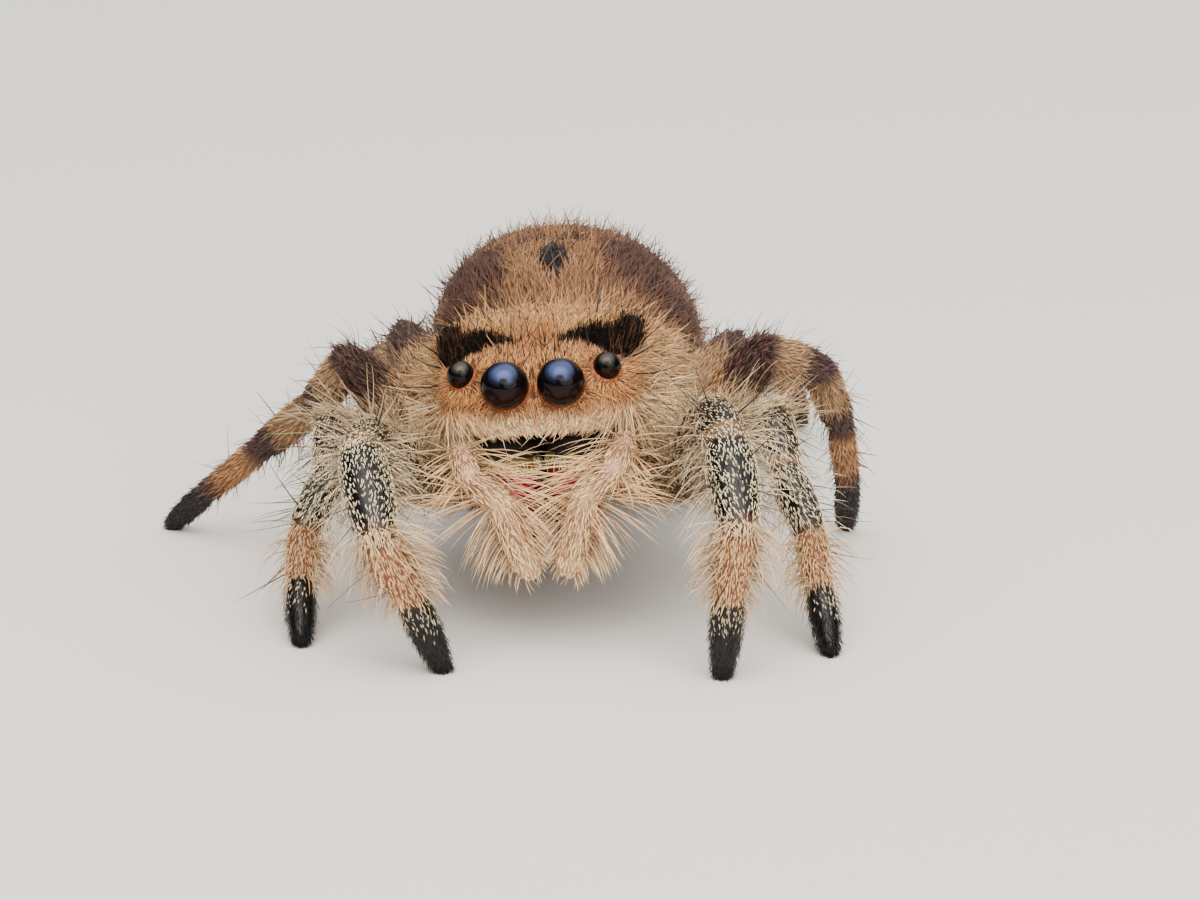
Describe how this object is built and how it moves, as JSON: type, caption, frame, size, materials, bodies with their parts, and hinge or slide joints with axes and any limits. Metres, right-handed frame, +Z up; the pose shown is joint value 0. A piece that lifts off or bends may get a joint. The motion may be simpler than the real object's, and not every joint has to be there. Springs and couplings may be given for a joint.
{
  "type": "jumping spider",
  "caption": "Life-size still model of an adult jumping spider standing on its feet, with raised head, large forward eyes, hanging palps and rounded abdomen.",
  "frame": {"origin": "middle of the spider's bounding box, at the floor it stands on", "axes": "+Z up, -Y towards where the spider faces, +X towards the spider's own left"},
  "size_m": [0.013, 0.0166, 0.0058],
  "materials": {
    "head_coat": "short tan and cream hair scales, orange round the eyes, black brow tufts",
    "abdomen_coat": "short tan hair with purple-brown bands and one dark spot",
    "underside": "dark brown cuticle with thin grey-brown hair",
    "eye": "very glossy, near black",
    "chelicera": "iridescent magenta-pink cuticle, green-gold towards the top",
    "palp_coat": "long cream hair over a tan-brown limb",
    "femur_coat": "grey-tan hair with darker bands",
    "patella_coat": "blue-black cuticle under cream hair scales, a pale band at the far end",
    "tibia_coat": "glossy blue-black cuticle under cream hair scales",
    "metatarsus_coat": "orange cuticle under pinkish-cream hair",
    "tarsus_coat": "black hair with a few cream scales and a dark claw tuft"
  },
  "bodies": {
    "root": {"carapace": "head_coat", "sternum": "underside", "abdomen": "abdomen_coat", "pedicel": "underside", "eye_anterior_median_left": "eye", "eye_anterior_lateral_left": "eye", "eye_posterior_median_left": "eye", "eye_posterior_lateral_left": "eye", "chelicera_left": "chelicera", "palp_left_femur": "palp_coat", "palp_left_tibia": "palp_coat", "palp_left_tarsus": "palp_coat", "leg_left_1_femur": "femur_coat", "leg_left_1_patella": "patella_coat", "leg_left_1_tibia": "tibia_coat", "leg_left_1_metatarsus": "metatarsus_coat", "leg_left_1_tarsus": "tarsus_coat", "leg_left_2_femur": "femur_coat", "leg_left_2_patella": "patella_coat", "leg_left_2_tibia": "tibia_coat", "leg_left_2_metatarsus": "metatarsus_coat", "leg_left_2_tarsus": "tarsus_coat", "leg_left_3_femur": "femur_coat", "leg_left_3_patella": "patella_coat", "leg_left_3_tibia": "tibia_coat", "leg_left_3_metatarsus": "metatarsus_coat", "leg_left_3_tarsus": "tarsus_coat", "leg_left_4_femur": "femur_coat", "leg_left_4_patella": "patella_coat", "leg_left_4_tibia": "tibia_coat", "leg_left_4_metatarsus": "metatarsus_coat", "leg_left_4_tarsus": "tarsus_coat", "eye_anterior_median_right": "eye", "eye_anterior_lateral_right": "eye", "eye_posterior_median_right": "eye", "eye_posterior_lateral_right": "eye", "chelicera_right": "chelicera", "palp_right_femur": "palp_coat", "palp_right_tibia": "palp_coat", "palp_right_tarsus": "palp_coat", "leg_right_1_femur": "femur_coat", "leg_right_1_patella": "patella_coat", "leg_right_1_tibia": "tibia_coat", "leg_right_1_metatarsus": "metatarsus_coat", "leg_right_1_tarsus": "tarsus_coat", "leg_right_2_femur": "femur_coat", "leg_right_2_patella": "patella_coat", "leg_right_2_tibia": "tibia_coat", "leg_right_2_metatarsus": "metatarsus_coat", "leg_right_2_tarsus": "tarsus_coat", "leg_right_3_femur": "femur_coat", "leg_right_3_patella": "patella_coat", "leg_right_3_tibia": "tibia_coat", "leg_right_3_metatarsus": "metatarsus_coat", "leg_right_3_tarsus": "tarsus_coat", "leg_right_4_femur": "femur_coat", "leg_right_4_patella": "patella_coat", "leg_right_4_tibia": "tibia_coat", "leg_right_4_metatarsus": "metatarsus_coat", "leg_right_4_tarsus": "tarsus_coat"}
  },
  "joints": []
}
